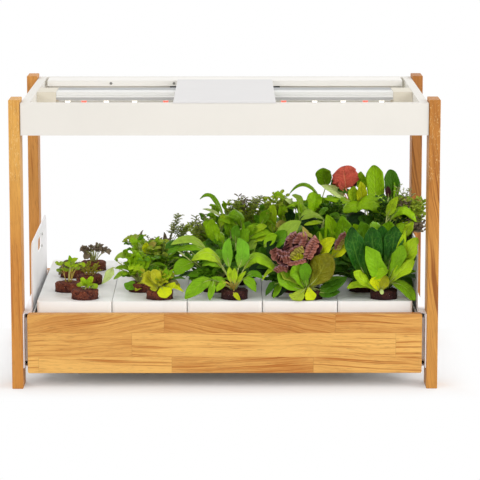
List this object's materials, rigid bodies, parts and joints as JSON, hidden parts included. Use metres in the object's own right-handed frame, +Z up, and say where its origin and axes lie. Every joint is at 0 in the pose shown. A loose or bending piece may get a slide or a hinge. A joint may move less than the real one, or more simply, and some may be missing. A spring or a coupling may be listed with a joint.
{
  "type": "countertop hydroponic garden",
  "caption": "Countertop hydroponic garden: oak posts and panels hold a white water tank, lift-out growing trays with rooted plugs and leafy plants, and a lamp frame with a ribbed LED bar.",
  "frame": {"origin": "middle of the footprint, on the surface that the posts stand on", "axes": "+X along the long side, to the right seen from the front; the front faces -Y; +Z up"},
  "size_m": [0.615, 0.385, 0.42],
  "materials": {
    "oak": "oiled oak",
    "white_steel": "white powder coat",
    "cream_steel": "warm white powder coat",
    "white_plastic": "white moulded plastic",
    "aluminium": "clear anodised extrusion",
    "led_white": "white solder mask with clear lenses",
    "circuit": "green circuit board",
    "dark_plastic": "black moulded plastic",
    "soil_and_leaf": "crumbly soil and soft leaves",
    "float_plastic": "blue grey foamed plastic"
  },
  "bodies": {
    "base": {"post_front_left": "oak", "post_front_right": "oak", "post_rear_left": "oak", "post_rear_right": "oak", "front_panel": "oak", "rear_panel": "oak", "side_frame_left": "white_steel", "side_frame_right": "white_steel", "water_tank": "white_plastic", "lamp_frame": "cream_steel", "led_bar": "aluminium", "led_board": "led_white", "bar_bracket_left": "cream_steel", "bar_bracket_right": "cream_steel", "control_cover": "white_steel", "control_board": "circuit", "rear_cover": "cream_steel", "lamp_driver": "dark_plastic", "power_inlet": "dark_plastic", "pump_housing": "dark_plastic", "pump_grille": "dark_plastic", "float_stem": "dark_plastic"},
    "tray_1": {"tray_1": "white_plastic"},
    "tray_2": {"tray_2": "white_plastic"},
    "tray_3": {"tray_3": "white_plastic"},
    "tray_4": {"tray_4": "white_plastic"},
    "tray_5": {"tray_5": "white_plastic"},
    "plug_1_1": {"plug_1_1": "soil_and_leaf"},
    "plug_1_2": {"plug_1_2": "soil_and_leaf"},
    "plug_1_3": {"plug_1_3": "soil_and_leaf"},
    "plug_1_4": {"plug_1_4": "soil_and_leaf"},
    "plug_1_5": {"plug_1_5": "soil_and_leaf"},
    "plug_2_1": {"plug_2_1": "soil_and_leaf"},
    "plug_2_2": {"plug_2_2": "soil_and_leaf"},
    "plug_2_3": {"plug_2_3": "soil_and_leaf"},
    "plug_2_4": {"plug_2_4": "soil_and_leaf"},
    "plug_2_5": {"plug_2_5": "soil_and_leaf"},
    "plug_3_1": {"plug_3_1": "soil_and_leaf"},
    "plug_3_2": {"plug_3_2": "soil_and_leaf"},
    "plug_3_3": {"plug_3_3": "soil_and_leaf"},
    "plug_3_4": {"plug_3_4": "soil_and_leaf"},
    "plug_3_5": {"plug_3_5": "soil_and_leaf"},
    "plug_4_1": {"plug_4_1": "soil_and_leaf"},
    "plug_4_2": {"plug_4_2": "soil_and_leaf"},
    "plug_4_3": {"plug_4_3": "soil_and_leaf"},
    "plug_4_4": {"plug_4_4": "soil_and_leaf"},
    "plug_4_5": {"plug_4_5": "soil_and_leaf"},
    "plug_5_1": {"plug_5_1": "soil_and_leaf"},
    "plug_5_2": {"plug_5_2": "soil_and_leaf"},
    "plug_5_3": {"plug_5_3": "soil_and_leaf"},
    "plug_5_4": {"plug_5_4": "soil_and_leaf"},
    "plug_5_5": {"plug_5_5": "soil_and_leaf"},
    "impeller": {"pump_impeller": "white_plastic"},
    "float": {"level_float": "float_plastic"}
  },
  "joints": [
    {"name": "tray_1_lift", "type": "slide", "parent": "base", "child": "tray_1", "axis": [0, 0, 1], "range_m": [0, 0.06]},
    {"name": "tray_2_lift", "type": "slide", "parent": "base", "child": "tray_2", "axis": [0, 0, 1], "range_m": [0, 0.06]},
    {"name": "tray_3_lift", "type": "slide", "parent": "base", "child": "tray_3", "axis": [0, 0, 1], "range_m": [0, 0.06]},
    {"name": "tray_4_lift", "type": "slide", "parent": "base", "child": "tray_4", "axis": [0, 0, 1], "range_m": [0, 0.06]},
    {"name": "tray_5_lift", "type": "slide", "parent": "base", "child": "tray_5", "axis": [0, 0, 1], "range_m": [0, 0.06]},
    {"name": "plug_1_1_lift", "type": "slide", "parent": "tray_1", "child": "plug_1_1", "axis": [0, 0, 1], "range_m": [0, 0.032]},
    {"name": "plug_1_2_lift", "type": "slide", "parent": "tray_1", "child": "plug_1_2", "axis": [0, 0, 1], "range_m": [0, 0.032]},
    {"name": "plug_1_3_lift", "type": "slide", "parent": "tray_1", "child": "plug_1_3", "axis": [0, 0, 1], "range_m": [0, 0.032]},
    {"name": "plug_1_4_lift", "type": "slide", "parent": "tray_1", "child": "plug_1_4", "axis": [0, 0, 1], "range_m": [0, 0.032]},
    {"name": "plug_1_5_lift", "type": "slide", "parent": "tray_1", "child": "plug_1_5", "axis": [0, 0, 1], "range_m": [0, 0.032]},
    {"name": "plug_2_1_lift", "type": "slide", "parent": "tray_2", "child": "plug_2_1", "axis": [0, 0, 1], "range_m": [0, 0.032]},
    {"name": "plug_2_2_lift", "type": "slide", "parent": "tray_2", "child": "plug_2_2", "axis": [0, 0, 1], "range_m": [0, 0.032]},
    {"name": "plug_2_3_lift", "type": "slide", "parent": "tray_2", "child": "plug_2_3", "axis": [0, 0, 1], "range_m": [0, 0.032]},
    {"name": "plug_2_4_lift", "type": "slide", "parent": "tray_2", "child": "plug_2_4", "axis": [0, 0, 1], "range_m": [0, 0.032]},
    {"name": "plug_2_5_lift", "type": "slide", "parent": "tray_2", "child": "plug_2_5", "axis": [0, 0, 1], "range_m": [0, 0.032]},
    {"name": "plug_3_1_lift", "type": "slide", "parent": "tray_3", "child": "plug_3_1", "axis": [0, 0, 1], "range_m": [0, 0.032]},
    {"name": "plug_3_2_lift", "type": "slide", "parent": "tray_3", "child": "plug_3_2", "axis": [0, 0, 1], "range_m": [0, 0.032]},
    {"name": "plug_3_3_lift", "type": "slide", "parent": "tray_3", "child": "plug_3_3", "axis": [0, 0, 1], "range_m": [0, 0.032]},
    {"name": "plug_3_4_lift", "type": "slide", "parent": "tray_3", "child": "plug_3_4", "axis": [0, 0, 1], "range_m": [0, 0.032]},
    {"name": "plug_3_5_lift", "type": "slide", "parent": "tray_3", "child": "plug_3_5", "axis": [0, 0, 1], "range_m": [0, 0.032]},
    {"name": "plug_4_1_lift", "type": "slide", "parent": "tray_4", "child": "plug_4_1", "axis": [0, 0, 1], "range_m": [0, 0.032]},
    {"name": "plug_4_2_lift", "type": "slide", "parent": "tray_4", "child": "plug_4_2", "axis": [0, 0, 1], "range_m": [0, 0.032]},
    {"name": "plug_4_3_lift", "type": "slide", "parent": "tray_4", "child": "plug_4_3", "axis": [0, 0, 1], "range_m": [0, 0.032]},
    {"name": "plug_4_4_lift", "type": "slide", "parent": "tray_4", "child": "plug_4_4", "axis": [0, 0, 1], "range_m": [0, 0.032]},
    {"name": "plug_4_5_lift", "type": "slide", "parent": "tray_4", "child": "plug_4_5", "axis": [0, 0, 1], "range_m": [0, 0.032]},
    {"name": "plug_5_1_lift", "type": "slide", "parent": "tray_5", "child": "plug_5_1", "axis": [0, 0, 1], "range_m": [0, 0.032]},
    {"name": "plug_5_2_lift", "type": "slide", "parent": "tray_5", "child": "plug_5_2", "axis": [0, 0, 1], "range_m": [0, 0.032]},
    {"name": "plug_5_3_lift", "type": "slide", "parent": "tray_5", "child": "plug_5_3", "axis": [0, 0, 1], "range_m": [0, 0.032]},
    {"name": "plug_5_4_lift", "type": "slide", "parent": "tray_5", "child": "plug_5_4", "axis": [0, 0, 1], "range_m": [0, 0.032]},
    {"name": "plug_5_5_lift", "type": "slide", "parent": "tray_5", "child": "plug_5_5", "axis": [0, 0, 1], "range_m": [0, 0.032]},
    {"name": "impeller_spin", "type": "hinge", "parent": "base", "child": "impeller", "pos_m": [0.19912, 0.138, 0.0561], "axis": [0, 1, 0], "continuous": true},
    {"name": "float_rise", "type": "slide", "parent": "base", "child": "float", "axis": [0, 0, 1], "range_m": [0, 0.026]}
  ]
}
